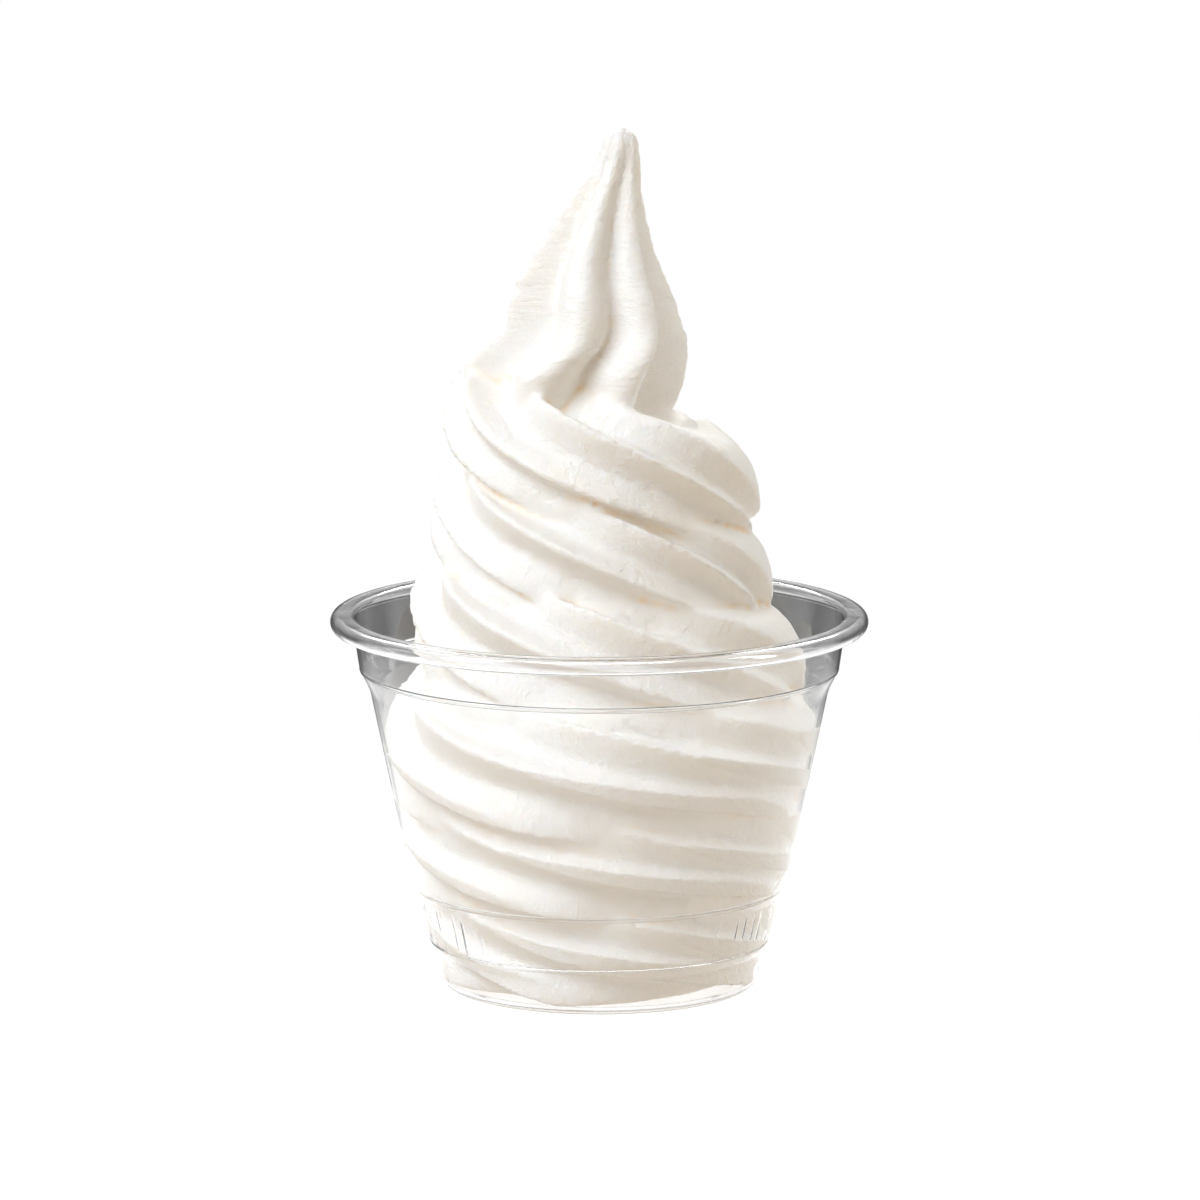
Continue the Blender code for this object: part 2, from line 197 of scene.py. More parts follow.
PEAK_STATIONS = 300
PEAK_STEP = 0.0005
PEAK_TIP_ROUND = 0.0030     # height in which the tip closes
PEAK_TIP_LEAST = 0.004      # where its last section lies, as a share of that height
PEAK = (                    # height, how far right the middle lies, and radius
    (0.0985, -0.0062, 0.0165),
    (0.1040, -0.0048, 0.0184),
    (0.1080, -0.0044, 0.0194),
    (0.1125, -0.0038, 0.0197),
    (0.1150, -0.0022, 0.0183),
    (0.1175, -0.0013, 0.0166),
    (0.1235, -0.0014, 0.0148),
    (0.1290, -0.0012, 0.0121),
    (0.1350, -0.0002, 0.0093),
    (0.1410, 0.0014, 0.0066),
    (0.1465, 0.0031, 0.0044),
    (SWIRL_HIGH.z, 0.0042, 0.0030),
)
TURN_UP_STATIONS = 90
TURN_IN_REACH = 0.007
TURN_UP_REACH = 0.007
TURN_UP_END = (-0.0030, 0.0, 0.1120)
TURN_UP_RADIUS = 0.0100
TURN_UP_RIDGES = (304.0, 254.0, 193.0, 132.0, 72.0, 12.0)

SEAM_STATIONS = 900
SEAM_DEPTH = 0.0080         # how far inside the coil's outside the filled seams lie
SEAM_RADIUS = 0.0030
SEAM_SIDES = 20

CORE_SIDES = 48
CORE_RINGS = 90
CORE = (                    # height, and radius of the filling inside the turns
    (0.0020, 0.0240),
    (0.0200, 0.0300),
    (0.0460, 0.0340),
    (0.0570, 0.0305),
    (0.0660, 0.0275),
    (0.0750, 0.0255),
    (0.0850, 0.0238),
    (0.0900, 0.0225),
    (0.0950, 0.0200),
    (0.0980, 0.0180),
    (0.1005, 0.0172),
    (0.1020, 0.0152),
    (0.1028, 0.0120),
)

# ---- skin of the yogurt -------------------------------------------------------------------------
HOLLOW_REACH = 0.0016       # crevices narrower than about this count as hollow
HOLLOW_UNIT = 0.001         # depth at which the hollow value is 1
CREST_UNIT = 0.0004         # height at which a crest is fully wrinkled
JUNCTION_JUMP = 0.004       # neighbours further apart than this along the rope lie on two turns
JUNCTION_ROUNDS = 4
JUNCTION_GAIN = 1.6
WRINKLE_SPACING = 0.0016
WRINKLES_AROUND = 4.0       # how finely the wrinkles break up around the rope
WRINKLES_OFF_CRESTS = 0.35  # share of their height that they keep in the valleys
WRINKLE_OCTAVES = (0.9, 2.0, 3)     # smoothness, spacing ratio and count
FINE_SPACING = 0.0013       # the same two sizes for the wrinkles in the material
FINE_AROUND = 5.0
LUMP_SPACING = 0.0070

# ---- stage --------------------------------------------------------------------------------------
FLOOR_SIDES = 96
FLOOR_FADE = (0.10, 0.25)   # radii between which the floor fades out
LIGHT_AIM = Vector((0.0, 0.0, 0.08))
LIGHT_DISTANCE = 1.0
SOFTBOXES = (               # name, bearing, elevation, width and height, share of the key's power, colour
    ("key_left", -48.0, 40.0, (0.75, 0.55), 1.00, (0.76, 0.865, 1.0)),
    ("back_right", 120.0, 10.0, (0.55, 0.55), 0.48, (0.76, 0.89, 1.0)),
    ("back_left", 208.0, 10.0, (0.55, 0.55), 0.42, (0.95, 1.0, 0.96)),
    ("shine_left", -60.0, 35.0, (0.30, 0.80), 1.20, None),
    ("shine_top", 0.0, 70.0, (0.80, 0.30), 1.30, None),
    ("shine_right", 75.0, 25.0, (0.18, 0.80), 0.80, None),
    ("shine_back", 180.0, 35.0, (0.90, 0.20), 1.20, None),
)
STUDIO_GREYS = (            # height from 0 below to 1 above, and the grey that the clear cup bends in
    (0.00, 0.85),
    (0.34, 0.75),
    (0.39, 0.13),
    (0.52, 0.13),
    (0.68, 0.95),
)
STUDIO_STRIPS = (0.80, 0.90)    # how far sideways the bright strips begin and are full
STRIP_GREY = 0.90
CAMERA_AIM = Vector((0.0, 0.0, 0.0689))
CAMERA_LENS = 265.9
CAMERA_SENSOR = 36.0
CAMERA_SHIFT = 0.000583
CAMERA_CLIP = 0.05


class CupSettings(bpy.types.PropertyGroup):
    """Sizes and finish of the clear cup."""

    sheet: FloatProperty(
        name="Sheet", description="Thickness of the clear sheet", default=0.0005, min=0.0002, max=0.001,
        unit="LENGTH", precision=5)
    sides: IntProperty(
        name="Sides", description="Facets around the cup", default=400, min=48, max=720)
    ribs: IntProperty(
        name="Ribs", description="Fine upright ribs in the band above the foot", default=72, min=0)
    rib_height: FloatProperty(
        name="Rib height", description="How far a rib stands proud", default=0.00022, min=0.0, max=0.0005,
        unit="LENGTH", precision=5)
    color: FloatVectorProperty(
        name="Color", description="Tint of the clear plastic", subtype="COLOR",
        default=(0.985, 0.985, 0.985), min=0.0, max=1.0)
    roughness: FloatProperty(
        name="Roughness", description="Roughness of the clear plastic", subtype="FACTOR", default=0.03,
        min=0.0, max=1.0)


class YogurtSettings(bpy.types.PropertyGroup):
    """Shape and finish of the swirl."""

    half_width: FloatProperty(
        name="Rope half width", description="Half width of the rope where it lies", default=0.0115,
        unit="LENGTH", precision=4)
    half_height: FloatProperty(
        name="Rope half height", description="Half height of the rope where it lies", default=0.0108,
        unit="LENGTH", precision=4)
    squareness: FloatProperty(
        name="Squareness", description="2 is an ellipse, and more is squarer", default=2.5,
        min=2.0, max=6.0)
    ridges: FloatProperty(
        name="Ridge depth", description="Depth of the valleys between the ridges", subtype="FACTOR",
        default=1.0, min=0.0, max=2.0)
    rise: FloatProperty(
        name="Rise", description="How much higher the top turn bulges beside the peak", default=0.31,
        min=0.0, max=0.6)
    voxel: FloatProperty(
        name="Grid", description="Grid on which the turns are merged", default=0.00072,
        min=0.0003, max=0.002, unit="LENGTH", precision=5)
    wrinkles: FloatProperty(
        name="Wrinkles", description="Height of the fine wrinkles across the rope", default=0.00028,
        unit="LENGTH", precision=5)
    lumps: FloatProperty(
        name="Lumps", description="Height of the soft lumps of the skin", default=0.00020, unit="LENGTH",
        precision=5)
    color: FloatVectorProperty(
        name="Color", description="Color of the yogurt", subtype="COLOR", default=(0.95, 0.925, 0.893),
        min=0.0, max=1.0)
    # Painted shade: a darker, warmer colour that the material lays deep in the crevices and where two turns
    # meet
    painted_crevice_shade: FloatVectorProperty(
        name="Crevice color", description="Color of the yogurt deep between the ridges", subtype="COLOR",
        default=(0.97, 0.79, 0.58), min=0.0, max=1.0)
    roughness: FloatProperty(
        name="Roughness", description="Roughness of the yogurt", subtype="FACTOR", default=0.48,
        min=0.0, max=1.0)


class StageSettings(bpy.types.PropertyGroup):
    """Floor, lights and camera."""

    floor_radius: FloatProperty(
        name="Floor", description="Radius of the pale floor", default=0.26, unit="LENGTH")
    key_power: FloatProperty(
        name="Key light", description="Power of the large light, front left", default=8.2, unit="POWER")
    fill_color: FloatVectorProperty(
        name="Fill", description="Even light from all around on what isn't clear", subtype="COLOR",
        default=(0.48, 0.415, 0.335), min=0.0, max=1.0)
    floor_glow: FloatProperty(
        name="Floor glow", description="How much brighter the fill is from below, as from a pale floor",
        default=1.5, min=0.0)
    camera_distance: FloatProperty(
        name="Camera distance", description="From the camera to the middle of the cup", default=1.564,
        unit="LENGTH")
    camera_elevation: FloatProperty(
        name="Camera elevation", description="Angle at which the camera looks down", subtype="ANGLE",
        default=math.radians(10.16))


# ---- shared helpers -----------------------------------------------------------------------------
def smooth_table(rows, at):
    """Read a short table of (place, value) rows along a smooth curve."""
    places = np.array([row[0] for row in rows])
    values = np.array([row[1] for row in rows])
    slopes = np.gradient(values, places)
    at = np.clip(at, places[0], places[-1])
    row = np.clip(np.searchsorted(places, at) - 1, 0, len(rows) - 2)
    span = places[row + 1] - places[row]
    t = (at - places[row]) / span
    start = (1 + 2 * t) * (1 - t) ** 2 * values[row] + t * (1 - t) ** 2 * span * slopes[row]
    end = t * t * (3 - 2 * t) * values[row + 1] - t * t * (1 - t) * span * slopes[row + 1]
    return start + end


def new_piece(name, points, faces, material):
    """A smooth shaded mesh object with its material, linked to the scene."""
    mesh = bpy.data.meshes.new(name)
    mesh.from_pydata([tuple(point) for point in points], [], [tuple(face) for face in faces])
    mesh.polygons.foreach_set("use_smooth", [True] * len(mesh.polygons))
    mesh.materials.append(material)
    piece = bpy.data.objects.new(name, mesh)
    bpy.context.scene.collection.objects.link(piece)
    return piece


def evaluated_mesh(piece):
    """The piece's mesh with its modifiers applied."""
    depsgraph = bpy.context.evaluated_depsgraph_get()
    return bpy.data.meshes.new_from_object(piece.evaluated_get(depsgraph))


class Nodes:
    """Short calls for building a node tree."""

    def __init__(self, tree):
        self.tree = tree

    def add(self, kind, **values):
        """Add a node, and set each value on its socket or else on the node itself."""
        node = self.tree.nodes.new(kind)
        for key, value in values.items():
            if key in node.inputs:
                node.inputs[key].default_value = value
            else:
                setattr(node, key, value)
        return node

    def link(self, source, target):
        self.tree.links.new(source, target)

    def noise(self, vector, scale, detail, roughness=0.5):
        node = self.add("ShaderNodeTexNoise", Scale=scale, Detail=detail, Roughness=roughness)
        self.link(vector, node.inputs["Vector"])
        return node.outputs["Fac"]

    def math(self, operation, first, second):
        node = self.add("ShaderNodeMath", operation=operation)
        for socket, value in zip(node.inputs, (first, second)):
            if isinstance(value, (int, float)):
                socket.default_value = value
            else:
                self.link(value, socket)
        return node.outputs["Value"]

    def ramp(self, factor, low, high, to_low=0.0, to_high=1.0):
        """Map a range of values to another one."""
        node = self.add("ShaderNodeMapRange")
        for name, value in (("From Min", low), ("From Max", high), ("To Min", to_low), ("To Max", to_high)):
            node.inputs[name].default_value = value
        self.link(factor, node.inputs["Value"])
        return node.outputs["Result"]

    def mix(self, factor, first, second):
        """Mix two colours, each a tuple or a socket."""
        node = self.add("ShaderNodeMix", data_type="RGBA")
        self.link(factor, node.inputs["Factor"])
        colors = [socket for socket in node.inputs if socket.type == "RGBA"]
        for socket, color in zip(colors, (first, second)):
            if isinstance(color, tuple):
                socket.default_value = (*color, 1.0)
            else:
                self.link(color, socket)
        return next(socket for socket in node.outputs if socket.type == "RGBA")

    def bump(self, height, strength, distance, normal=None):
        node = self.add("ShaderNodeBump", Strength=strength, Distance=distance)
        self.link(height, node.inputs["Height"])
        if normal is not None:
            self.link(normal, node.inputs["Normal"])
        return node.outputs["Normal"]

    def mix_shaders(self, factor, first, second):
        node = self.add("ShaderNodeMixShader")
        self.link(factor, node.inputs["Fac"])
        self.link(first, node.inputs[1])
        self.link(second, node.inputs[2])
        return node.outputs["Shader"]


def new_material(name):
    """A material, the calls that build its nodes, and its shader."""
    material = bpy.data.materials.new(name)
    material.use_nodes = True
    return material, Nodes(material.node_tree), material.node_tree.nodes["Principled BSDF"]


# ---- cup ----------------------------------------------------------------------------------------
def arc(center_radius, center_z, size, first, last, count):
    """Points of a profile along an arc, angles in degrees from +X."""
    angles = np.radians(np.linspace(first, last, count))
    return [(center_radius + size * math.cos(a), center_z + size * math.sin(a)) for a in angles]


def rounded(corners, steps=5):
    """Round the corners of a profile; each corner is (radius, height, how far the rounding reaches)."""
    points = [Vector(corner[:2]) for corner in corners]
    smooth = [points[0]]
    for before, here, after, corner in zip(points, points[1:], points[2:], corners[1:]):
        reach = min(corner[2], (here - before).length * 0.45, (after - here).length * 0.45)
        start = here + (before - here).normalized() * reach
        end = here + (after - here).normalized() * reach
        for t in np.linspace(0, 1, steps):
            smooth.append(start * (1 - t) ** 2 + here * 2 * t * (1 - t) + end * t * t)
    smooth.append(points[-1])
    return [tuple(point) for point in smooth]


def wall_profile():
    """Outside of the cup from under its rim to the middle of its floor."""
    return rounded(WALL + ((0.0, WALL[-1][1], 0.0),))


def inside_radius(z, sheet):
    """Radius of the room inside the cup at a height."""
    wall = sorted((height, radius) for radius, height in wall_profile() if radius > WALL[-2][0])
    heights = np.array([height for height, _ in wall])
    radii = np.array([radius for _, radius in wall])
    return np.interp(z, heights + sheet, radii - sheet)


def cup_material(settings):
    """Clear plastic, a little wavy and unevenly polished."""
    material, nodes, shader = new_material("clear_plastic")
    shader.inputs["Base Color"].default_value = (*settings.color, 1.0)
    shader.inputs["Transmission Weight"].default_value = 1.0
    shader.inputs["IOR"].default_value = 1.57
    place = nodes.add("ShaderNodeTexCoord").outputs["Object"]
    squeeze = nodes.add("ShaderNodeMapping")
    squeeze.inputs["Scale"].default_value = (1.0, 1.0, 0.25)
    nodes.link(place, squeeze.inputs["Vector"])
    waves = nodes.noise(squeeze.outputs["Vector"], 110.0, 2.0)
    haze = nodes.noise(place, 420.0, 3.0)
    nodes.link(nodes.ramp(haze, 0.3, 0.8, settings.roughness * 0.6, settings.roughness * 1.6),
               shader.inputs["Roughness"])
    nodes.link(nodes.bump(waves, 0.10, 0.0006), shader.inputs["Normal"])
    return material


def rib_profile(angle, count):
    """Height from 0 to 1 of the fine ribs around the band, at uneven places."""
    random = np.random.default_rng(RIB_SEED)
    shift = random.uniform(-RIB_UNEVENNESS, RIB_UNEVENNESS, count)
    places = (np.arange(count) + shift) * 2 * math.pi / count
    heights = random.uniform(*RIB_HEIGHTS, count)
    widths = random.uniform(*RIB_WIDTHS, count)
    ribs = np.zeros_like(angle)
    for place, height, width in zip(places, heights, widths):
        away = (angle - place + math.pi) % (2 * math.pi) - math.pi
        ribs = np.maximum(ribs, height * np.exp(-(away / width) ** 2))
    return ribs


def cup_outline(sheet):
    """Profile of the sheet's outer face, from the end of the rim's roll to the middle of the floor."""
    roll = arc(RIM_RADIUS - RIM_ROLL, RIM_TOP_Z - RIM_ROLL, RIM_ROLL - sheet, *RIM_ARC, RIM_POINTS)
    bead = arc(BEAD_RADIUS, RIM_TOP_Z - BEAD_ROLL, BEAD_ROLL - sheet, *BEAD_ARC, BEAD_POINTS)
    wall = wall_profile()
    band = [point for point in wall if BAND_FOOT_Z < point[1] < BAND_TOP_Z]
    above = [point for point in wall if point[1] >= BAND_TOP_Z]
    below = [point for point in wall if point[1] <= BAND_FOOT_Z]
    top, foot = band[0], band[-1]
    ribbed = [(top[0] + (foot[0] - top[0]) * t, top[1] + (foot[1] - top[1]) * t)
              for t in np.linspace(0, 1, BAND_RINGS)]
    return roll + bead + above + ribbed + below


def cup_rings(settings):
    """Rings of the sheet's outer face, and the height of the middle of its floor."""
    outline = cup_outline(settings.sheet)
    angle = np.linspace(0, 2 * math.pi, settings.sides, endpoint=False)
    ribs = settings.rib_height * rib_profile(angle, settings.ribs)
    rings = []
    for radius, z in outline[:-1]:
        inside_band = np.clip(min(z - BAND_FOOT_Z, BAND_TOP_Z - z) / BAND_FADE, 0, 1)
        out = radius + ribs * inside_band
        rings.append(np.stack([out * np.cos(angle), out * np.sin(angle), np.full_like(angle, z)], 1))
    return rings, outline[-1][1]


def add_step_lines(mesh, sides):
    """Thicken the sheet to a thin round bead at each step of the wall."""
    shape = bmesh.new()
    shape.from_mesh(mesh)
    for radius, z, size in STEP_LINES:
        rings = []
        for turn in np.linspace(0, 2 * math.pi, sides, endpoint=False):
            ring = []
            for angle in np.linspace(0, 2 * math.pi, STEP_LINE_SIDES, endpoint=False):
                out = radius + size * (math.cos(angle) - 1)
                up = z + size * math.sin(angle)
                ring.append(shape.verts.new((out * math.cos(turn), out * math.sin(turn), up)))
            rings.append(ring)
        for near, far in zip(rings, rings[1:] + rings[:1]):
            for i in range(STEP_LINE_SIDES):
                j = (i + 1) % STEP_LINE_SIDES
                shape.faces.new((near[i], far[i], far[j], near[j])).smooth = True
    shape.to_mesh(mesh)
    shape.free()


def build_cup(settings):
    """The closed sheet of the cup, turned about the Z axis."""
    rings, floor_z = cup_rings(settings)
    sides = settings.sides
    points = np.vstack(rings + [np.array([[0.0, 0.0, floor_z]])])
    faces = []
    for row in range(len(rings) - 1):
        for i in range(sides):
            j = (i + 1) % sides
            faces.append((row * sides + j, row * sides + i, (row + 1) * sides + i, (row + 1) * sides + j))
    middle = len(points) - 1
    last = (len(rings) - 1) * sides
    faces += [(last + (i + 1) % sides, last + i, middle) for i in range(sides)]
    cup = new_piece("clear_cup", points, faces, cup_material(settings))
    sheet = cup.modifiers.new("sheet", "SOLIDIFY")
    sheet.thickness = settings.sheet
    sheet.offset = -1.0
    cup.data = evaluated_mesh(cup)
    cup.modifiers.clear()
    cup.data.name = "clear_cup"
    add_step_lines(cup.data, settings.sides)
    cup.visible_shadow = False
    cup.visible_diffuse = False
    return cup


# ---- yogurt -------------------------------------------------------------------------------------
def bearings_at(table, places):
    """Bearings of the six ridges, a column each, read from a table at each of the places."""
    table = np.array(table, float)
    columns = [smooth_table(table[:, (0, column)], places) for column in range(1, table.shape[1])]
    return np.stack(columns, 1)


def coil_path(settings):
    """Stations of the coiled rope, upwards.

    Each has x, y, z, radius, tallness, creasing, rise of its top, and the bearings of its ridges.
    """
    turn = np.linspace(COIL_HEIGHT[-1][0], 0.0, COIL_STATIONS)
    angle = math.pi + 2 * math.pi * turn
    z = smooth_table(COIL_HEIGHT, turn)
    reach = smooth_table(COIL_OUTSIDE, z) - settings.half_width
    x = smooth_table(COIL_AXIS, z) + reach * np.cos(angle)
    y = reach * np.sin(angle)
    radius = np.full_like(x, settings.half_width)
    rise = settings.rise * np.exp(-((turn - RISE_TURN) / RISE_WIDTH) ** 2)
    last_turn = RIDGES[-1][0]
    again = np.where(turn > last_turn, last_turn - 1 + (turn - last_turn) % 1, turn)
    form = np.stack([x, y, z, radius, smooth_table(COIL_TALLNESS, turn), 0 * x, rise], 1)
    return np.hstack([form, bearings_at(RIDGES, again)])


def peak_path():
    """Stations of the upright rope, from its foot in the coil to its rounded tip."""
    z = np.linspace(PEAK[0][0], PEAK[-1][0], PEAK_STATIONS)
    x = smooth_table([(row[0], row[1]) for row in PEAK], z)
    radius = smooth_table([(row[0], row[2]) for row in PEAK], z)
    below_tip = np.clip((PEAK[-1][0] - z) / PEAK_TIP_ROUND, PEAK_TIP_LEAST, 1.0)
    radius = radius * np.sqrt(1 - (1 - below_tip) ** 2)
    level = np.ones_like(z)
    form = np.stack([x, 0 * z, z, radius, level, level, 0 * z], 1)
    return np.hstack([form, bearings_at(PEAK_RIDGES, z)])


def turn_up_path(coil):
    """Stations where the rope leaves the coil and turns up, to end inside the peak."""
    start = coil[-1]
    end = np.array([*TURN_UP_END, TURN_UP_RADIUS, 1.0, 0.0, 0.0, *TURN_UP_RIDGES])
    heading = coil[-1, :3] - coil[-2, :3]
    leave = start[:3] + TURN_IN_REACH * heading / np.linalg.norm(heading)
    arrive = end[:3] - np.array([0.0, 0.0, TURN_UP_REACH])
    t = np.linspace(0.0, 1.0, TURN_UP_STATIONS)[1:, None]
    place = (1 - t) ** 3 * start[:3] + 3 * t * (1 - t) ** 2 * leave
    place = place + 3 * t * t * (1 - t) * arrive + t ** 3 * end[:3]
    blend = 3 * t * t - 2 * t ** 3
    return np.hstack([place, start[3:] + (end[3:] - start[3:]) * blend])


def even_steps(path, step):
    """Read a path again at even steps along its length."""
    length = np.r_[0, np.cumsum(np.linalg.norm(np.diff(path[:, :3], axis=0), axis=1))]
    at = np.linspace(0, length[-1], int(length[-1] / step))
    return np.stack([np.interp(at, length, column) for column in path.T], 1)


def star(bearings, creasing, ridges):
    """Bearings and radii of one section: narrow crests of radius 1, scooped or creased valleys between."""
    even = np.arange(RIDGE_SIDES) / RIDGE_SIDES
    gaps = bearings - np.r_[bearings[1:], bearings[0] - 360]
    depths = np.array(VALLEY_DEPTHS) * (1 - creasing) + np.array(PEAK_DEPTHS) * creasing
    leans = 1 + (np.array(PEAK_LEANS) - 1) * creasing
    outward = []
    reach = []
    for bearing, gap, depth, crease, lean in zip(bearings, gaps, depths, CREASES, leans):
        share = crease * creasing
        across = even ** lean
        scoop = np.sqrt(np.sin(across * math.pi) ** 2 + CREST_ROUNDING ** 2) - CREST_ROUNDING
        scoop /= math.sqrt(1 + CREST_ROUNDING ** 2) - CREST_ROUNDING
        fold = 1 - np.abs(np.cos(across * math.pi))
        depth = depth * ridges * min(1.0, gap / FULL_GAP)
        outward.append(bearing - gap * even)
        reach.append(1 - depth * (scoop * (1 - share) + fold * share))
    return np.radians(np.concatenate(outward)[::-1]), np.concatenate(reach)[::-1]


def flatten(ring, lying, squareness, height, rise):
    """Square a lying section off a little and set its height; an upright one stays as it is."""
    out = np.hypot(ring[:, 0], ring[:, 1])
    up = np.abs(ring[:, 2])
    size = np.hypot(out, up)
    risen = np.where(ring[:, 2] > 0, max(0.0, 1 - RISE_ROUNDING * rise), 1.0)
    power = 2 + (squareness - 2) * lying * risen
    ring = ring * (((out / size) ** power + (up / size) ** power) ** (-1 / power))[:, None]
    ring[:, 2] *= 1 + (height - 1) * lying
    ring[:, 2] *= np.where(ring[:, 2] > 0, 1 + rise, 1.0)
    return ring


def sweep(path, settings):
    """Rings of the star along a path. The star isn't turned with the path, as in a nozzle."""
    heading = np.gradient(path[:, :3], axis=0)
    heading /= np.linalg.norm(heading, axis=1)[:, None]
    height = settings.half_height / settings.half_width
    rings = []
    for station, ahead in zip(path, heading):
        radius, tallness, creasing, rise = station[3:7]
        ridges = settings.ridges * min(1.0, radius / TIP_RADIUS)
        outward, reach = star(station[7:], creasing, ridges)
        ring = np.stack([reach * np.cos(outward), reach * np.sin(outward), np.zeros_like(reach)], 1)
        if creasing < 1.0:
            tilt = np.array(Vector((0, 0, 1)).rotation_difference(Vector(ahead)).to_matrix())
            lying = math.sqrt(max(0.0, 1 - ahead[2] ** 2))
            ring = flatten(ring @ tilt.T, lying, settings.squareness, height * tallness, rise)
        rings.append(station[:3] + radius * ring)
    return rings


def core_rings():
    """Rings of the filling inside the turns, which reaches the middle of the rope."""
    angle = np.linspace(0, 2 * math.pi, CORE_SIDES, endpoint=False)
    rings = []
    for z in np.linspace(CORE[0][0], CORE[-1][0], CORE_RINGS):
        radius = smooth_table(CORE, z)
        x = smooth_table(COIL_AXIS, z) + radius * np.cos(angle)
        rings.append(np.stack([x, radius * np.sin(angle), np.full_like(angle, z)], 1))
    return rings


def seam_rings():
    """Rings of the filling pressed out between each turn and the next, a little below the surface."""
    turn = np.linspace(0.0, COIL_HEIGHT[-1][0] - 1, SEAM_STATIONS)
    z = (smooth_table(COIL_HEIGHT, turn) + smooth_table(COIL_HEIGHT, turn + 1)) / 2
    bearing = math.pi + 2 * math.pi * turn
    reach = smooth_table(COIL_OUTSIDE, z) - SEAM_DEPTH
    angle = np.linspace(0, 2 * math.pi, SEAM_SIDES, endpoint=False)
    rings = []
    for a, r, middle, up in zip(bearing, reach, smooth_table(COIL_AXIS, z), z):
        out = r + SEAM_RADIUS * np.cos(angle)
        height = up + SEAM_RADIUS * np.sin(angle)
        rings.append(np.stack([middle + out * math.cos(a), out * math.sin(a), height], 1))
    return rings


def tubes(groups):
    """Points and faces of closed tubes, one through each group of rings."""
    points = []
    faces = []
    start = 0
    for rings in groups:
        sides = len(rings[0])
        points.append(np.vstack(rings))
        i = np.arange(sides)
        j = (i + 1) % sides
        for row in range(len(rings) - 1):
            low = start + row * sides
            high = low + sides
            faces += list(zip(low + i, low + j, high + j, high + i))
        faces.append(tuple(start + i[::-1]))
        faces.append(tuple(start + (len(rings) - 1) * sides + i))
        start += len(rings) * sides
    return np.vstack(points), faces


def yogurt_color_and_crevice_shade(nodes, place, hollow, junction, settings):
    """Cream that is cloudy with a warmer one, with painted shade, darker and warmer, deep in the crevices and
    where two turns meet.
    """
    cloud = nodes.noise(place, 60.0, 3.0)
    warm = tuple(c * f for c, f in zip(settings.color, (0.995, 0.975, 0.945)))
    skin = nodes.mix(nodes.ramp(cloud, 0.35, 0.75), tuple(settings.color), warm)
    # Painted shade: the crevice colour fills the hollows, and the shallower hollows where two turns meet
    folded = nodes.math("MULTIPLY", junction, nodes.ramp(hollow, 0.04, 0.25))
    deep = nodes.math("MAXIMUM", nodes.ramp(hollow, 0.10, 0.55), folded)
    return nodes.mix(deep, skin, tuple(settings.painted_crevice_shade))


def yogurt_skin(nodes, place, hollow, junction):
    """Bump of fine wrinkles across the rope, icy grain, and small pits along the crests."""
    along = nodes.add("ShaderNodeAttribute", attribute_name="rope_place").outputs["Vector"]
    waves = nodes.math("SUBTRACT", nodes.noise(along, 1.0, 4.0, 0.65), 0.5)
    wrinkles = nodes.math("MULTIPLY", waves, nodes.ramp(junction, 0.0, 0.35, 1.0, 0.0))
    skin = nodes.bump(wrinkles, 1.0, 0.00055)
    grain = nodes.bump(nodes.noise(place, 900.0, 5.0, 0.6), 0.6, 0.00022, skin)
    cells = nodes.add("ShaderNodeTexVoronoi", Scale=420.0)
    nodes.link(place, cells.inputs["Vector"])
    dots = nodes.ramp(cells.outputs["Distance"], 0.10, 0.42, 1.0, 0.0)
    on_crests = nodes.math("MULTIPLY", dots, nodes.ramp(hollow, -0.45, -0.15, 1.0, 0.0))
    return nodes.bump(nodes.math("SUBTRACT", 1.0, on_crests), 0.7, 0.00022, grain)


def yogurt_material(settings):
    """Soft, slightly see-through cream."""
    material, nodes, shader = new_material("frozen_yogurt")
    shader.inputs["Subsurface Weight"].default_value = 0.3
    shader.inputs["Subsurface Radius"].default_value = (1.0, 0.72, 0.5)
    shader.inputs["Subsurface Scale"].default_value = 0.0012
    shader.inputs["IOR"].default_value = 1.38
    place = nodes.add("ShaderNodeTexCoord").outputs["Object"]
    hollow = nodes.add("ShaderNodeAttribute", attribute_name="hollow").outputs["Fac"]
    junction = nodes.add("ShaderNodeAttribute", attribute_name="junction").outputs["Fac"]
    polish = nodes.ramp(nodes.noise(place, 300.0, 4.0), 0.3, 0.7, settings.roughness * 0.85,
                        settings.roughness * 1.15)
    nodes.link(yogurt_color_and_crevice_shade(nodes, place, hollow, junction, settings), shader.inputs["Base Color"])
    nodes.link(polish, shader.inputs["Roughness"])
    nodes.link(yogurt_skin(nodes, place, hollow, junction), shader.inputs["Normal"])
    return material


def press_into_cup(points, sheet):
    """Keep the yogurt inside the cup, reaching just into its sheet."""
    room = inside_radius(points[:, 2], sheet) + REACH_INTO_SHEET
    out = np.hypot(points[:, 0], points[:, 1])
    low = points[:, 2] < WALL[0][1]
    over = low & (out > room)
    points[over, :2] *= (room[over] / out[over])[:, None]
    floor = WALL[-1][1] + sheet - REACH_INTO_SHEET
    points[:, 2] = np.maximum(points[:, 2], floor)
    return points


def rope_places(points, rings, path):
    """For each point, how far along the rope it lies, and where around it, from the nearest corner."""
    sides = len(rings[0])
    raw = np.vstack(rings)
    tree = KDTree(len(raw))
    for i, point in enumerate(raw):
        tree.insert(point, i)
    tree.balance()
    nearest = np.array([tree.find(point)[1] for point in points])
    length = np.r_[0, np.cumsum(np.linalg.norm(np.diff(path[:, :3], axis=0), axis=1))]
    return length[nearest // sides], (nearest % sides) / sides * 2 * math.pi


